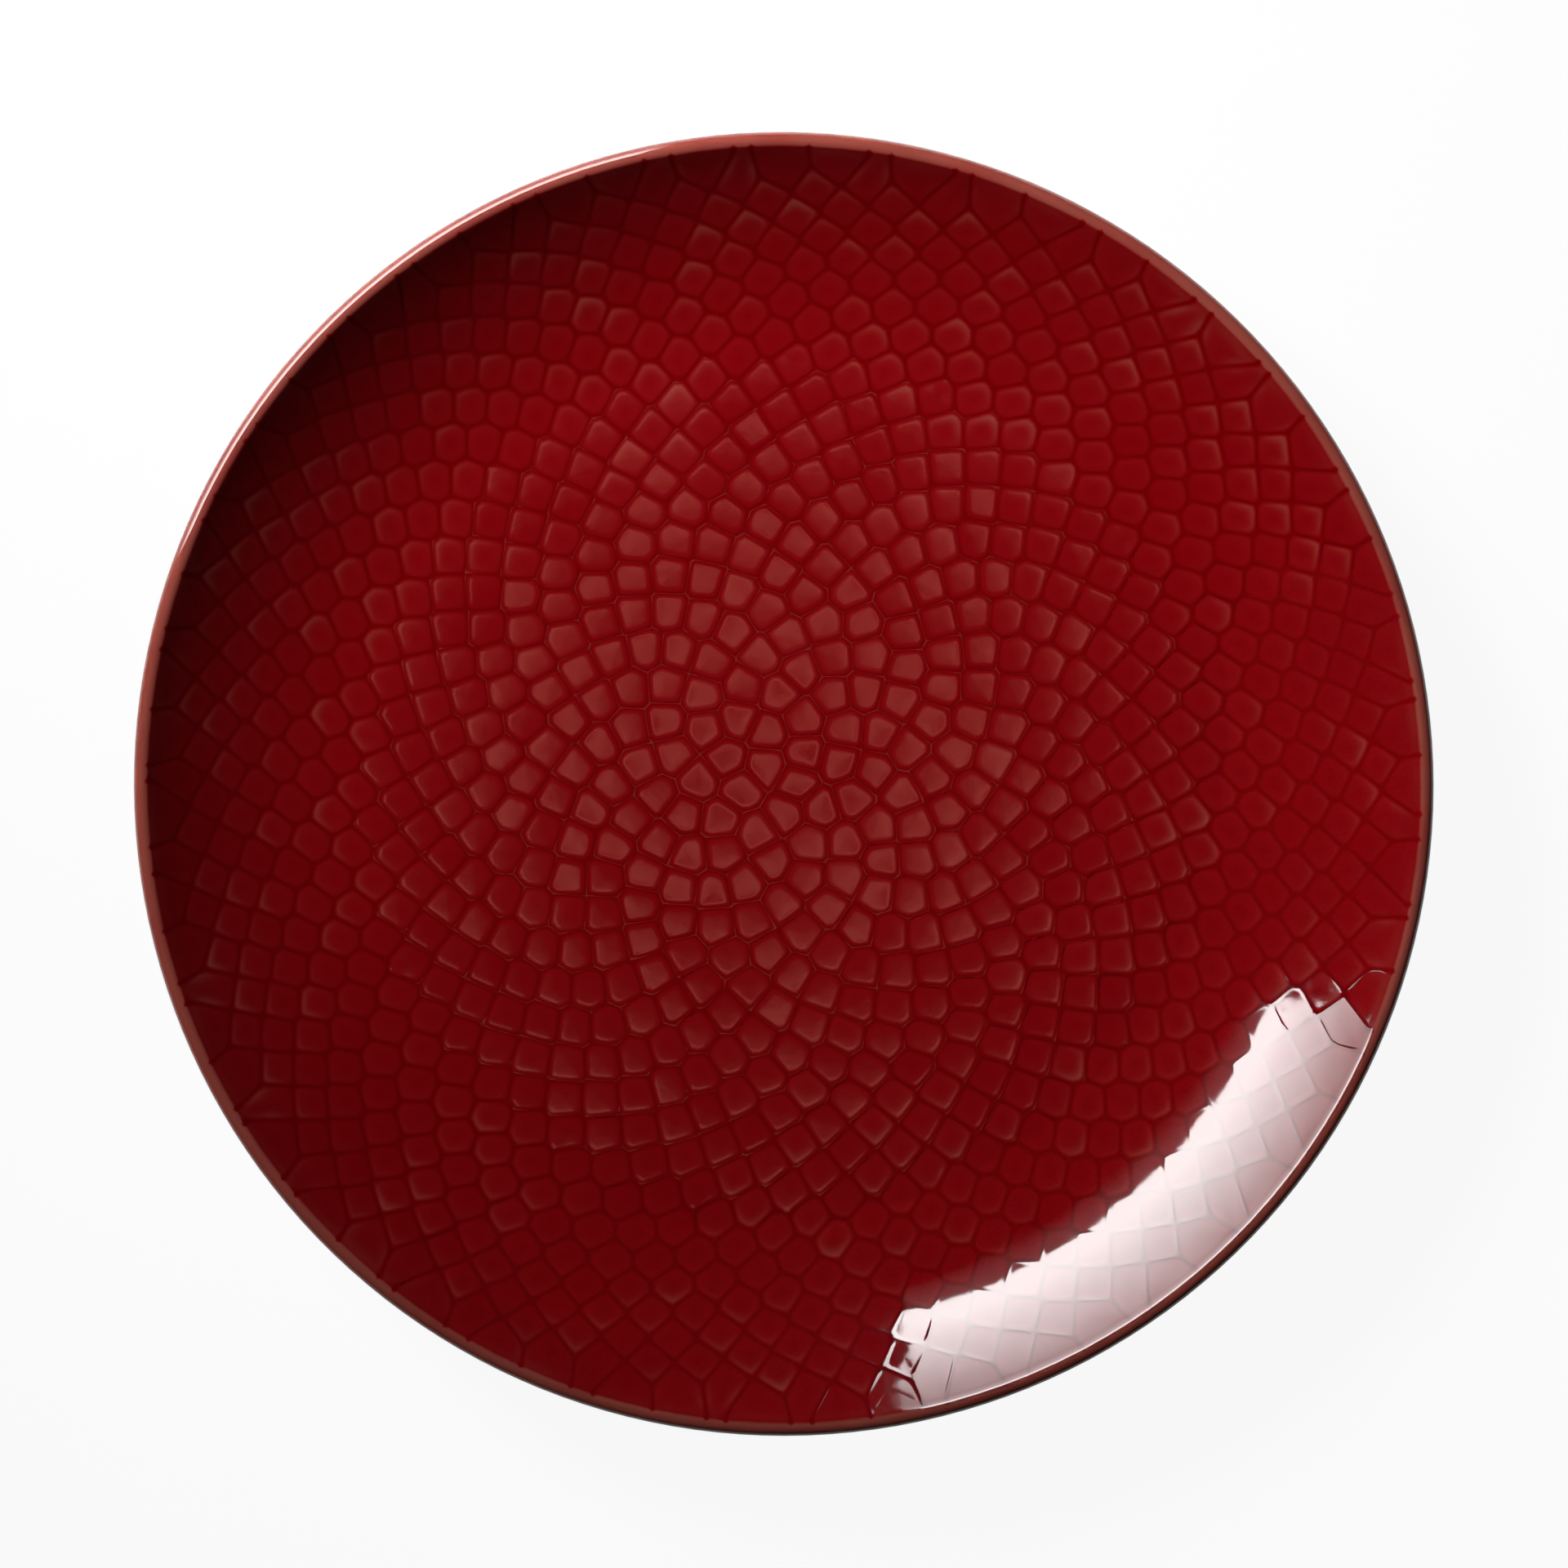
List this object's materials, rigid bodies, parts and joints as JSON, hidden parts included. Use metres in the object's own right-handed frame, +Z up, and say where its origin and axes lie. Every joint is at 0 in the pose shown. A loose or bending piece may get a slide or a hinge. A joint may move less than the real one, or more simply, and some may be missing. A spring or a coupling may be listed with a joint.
{
  "type": "stoneware plate",
  "caption": "Round red-glazed stoneware coupe plate with a raised seed-head relief over its face, an upturned wall, a rounded lip and a bare foot ring, for serving food.",
  "frame": {"origin": "on the plate's axis, in the plane that the foot ring stands on", "axes": "+Z up along the plate's axis, the face looking along +Z; X and Y in the plane of the foot"},
  "size_m": [0.27, 0.27, 0.03],
  "materials": {
    "fired_clay": "bare fired stoneware, dry and matt",
    "red_glaze": "glossy oxblood red glaze that breaks to brown on edges"
  },
  "bodies": {
    "root": {"clay_body": "fired_clay", "glaze_coat": "red_glaze", "base_glaze": "red_glaze"}
  },
  "joints": []
}
